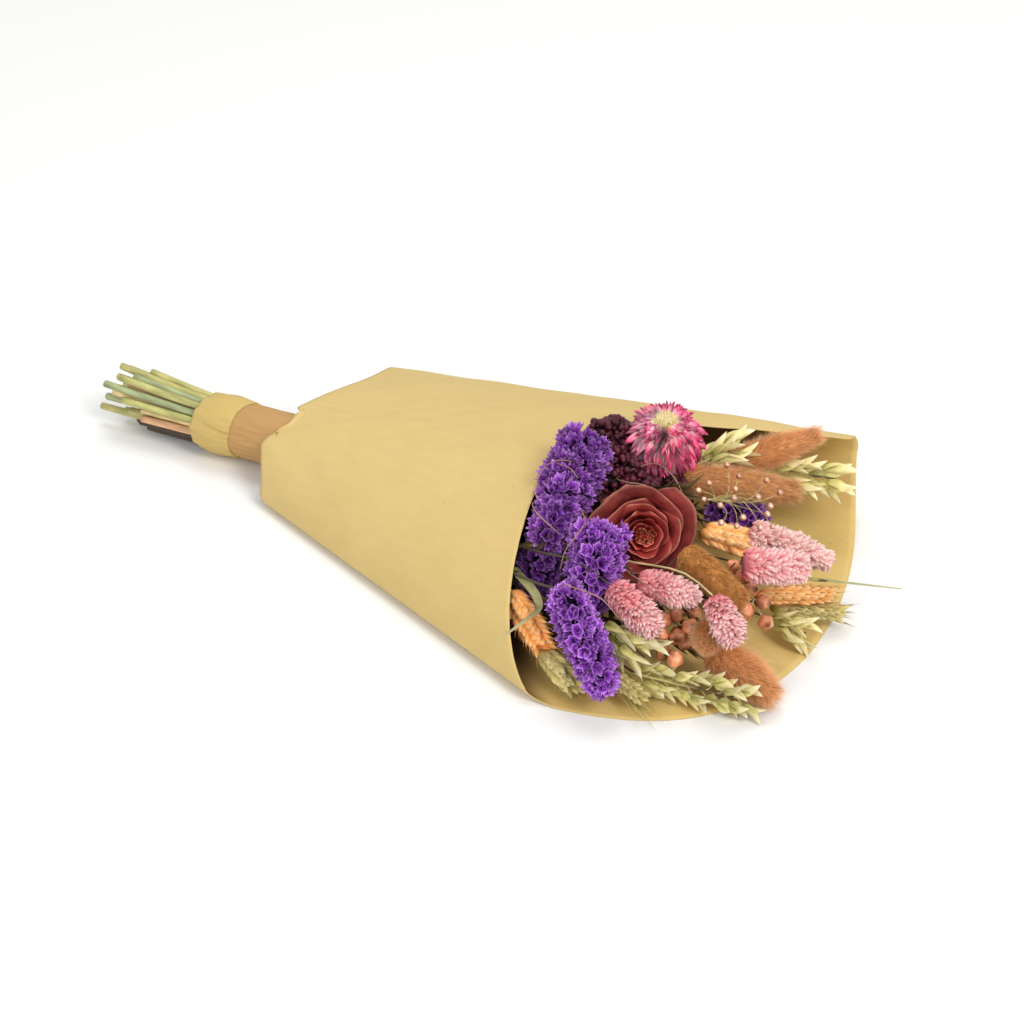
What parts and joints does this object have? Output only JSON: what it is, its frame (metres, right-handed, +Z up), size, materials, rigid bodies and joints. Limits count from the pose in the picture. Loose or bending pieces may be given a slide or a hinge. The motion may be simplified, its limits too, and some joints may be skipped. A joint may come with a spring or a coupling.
{
  "type": "dried flower bouquet in a paper sleeve",
  "caption": "Tied bouquet of mixed dried flowers, grasses and seed heads lying in a flattened conical kraft-paper sleeve whose front is cut back in a curve",
  "frame": {"origin": "on the flat underside of the paper sleeve, 100 mm in from its narrow end, at the level of the surface it lies on", "axes": "+X from the cut stem ends to the flowers, +Z up from the surface, +Y to the sleeve's longer, raised fold"},
  "size_m": [0.4332, 0.2381, 0.0814],
  "materials": {
    "kraft_paper": "matte kraft paper with fine fibres and faint creases",
    "tan_tape": "smooth paper tape, slightly waxy, wrinkled round the stems",
    "rose_petal": "dry papery petal, dusty reddish brown with paler rolled edges and fine veins",
    "strawflower_bract": "stiff papery bract, silky magenta with paler streaks",
    "strawflower_disc": "cream-yellow fuzzy disc florets",
    "statice_violet": "thin papery violet floret with lighter rims",
    "hares_tail": "soft tan-brown hair",
    "canary_grass_pink": "matte dyed pink scales with paler keels",
    "dried_stem": "dry ribbed stem, yellow-green to sage",
    "burgundy_bead": "small dark burgundy buds with a soft sheen",
    "flax_capsule": "smooth brown seed capsule with faint ribs",
    "copper_bead": "tiny copper-brown beads on wiry branches",
    "orange_wheat": "dyed orange husks, satin, with thin awns",
    "green_wheat": "natural straw-green husks with thin awns",
    "oat_husk": "pale green papery husks",
    "grass": "dry thin grass blade"
  },
  "bodies": {
    "root": {"paper_sleeve": "kraft_paper", "stem_wrap_paper": "kraft_paper", "stem_wrap_tape": "tan_tape", "rose_petals": "rose_petal", "strawflower_bracts": "strawflower_bract", "strawflower_disc": "strawflower_disc", "statice_a_florets": "statice_violet", "statice_b_florets": "statice_violet", "statice_c_florets": "statice_violet", "statice_d_florets": "statice_violet", "statice_e_florets": "statice_violet", "lagurus_1_head": "hares_tail", "lagurus_2_head": "hares_tail", "lagurus_3_head": "hares_tail", "lagurus_4_head": "hares_tail", "lagurus_5_head": "hares_tail", "phalaris_1_head": "canary_grass_pink", "phalaris_2_head": "canary_grass_pink", "phalaris_3_head": "canary_grass_pink", "phalaris_4_head": "canary_grass_pink", "phalaris_5_head": "canary_grass_pink", "rose_stem": "dried_stem", "strawflower_stem": "dried_stem", "statice_a_stem": "dried_stem", "statice_b_stem": "dried_stem", "statice_c_stem": "dried_stem", "statice_d_stem": "dried_stem", "statice_e_stem": "dried_stem", "lagurus_1_stem": "dried_stem", "lagurus_2_stem": "dried_stem", "lagurus_3_stem": "dried_stem", "lagurus_4_stem": "dried_stem", "lagurus_5_stem": "dried_stem", "phalaris_1_stem": "dried_stem", "phalaris_2_stem": "dried_stem", "phalaris_3_stem": "dried_stem", "phalaris_4_stem": "dried_stem", "phalaris_5_stem": "dried_stem", "burgundy_beads": "burgundy_bead", "flax_1": "flax_capsule", "flax_2": "flax_capsule", "flax_3": "flax_capsule", "copper_beads": "copper_bead", "orange_wheat_1": "orange_wheat", "orange_wheat_2": "orange_wheat", "orange_wheat_3": "orange_wheat", "green_wheat_1": "green_wheat", "green_wheat_2": "green_wheat", "green_wheat_3": "green_wheat", "oats_1": "oat_husk", "oats_2": "oat_husk", "oats_3": "oat_husk", "oats_4": "oat_husk", "oats_5": "oat_husk", "grass_blade": "grass", "grass_leaf": "grass"}
  },
  "joints": []
}
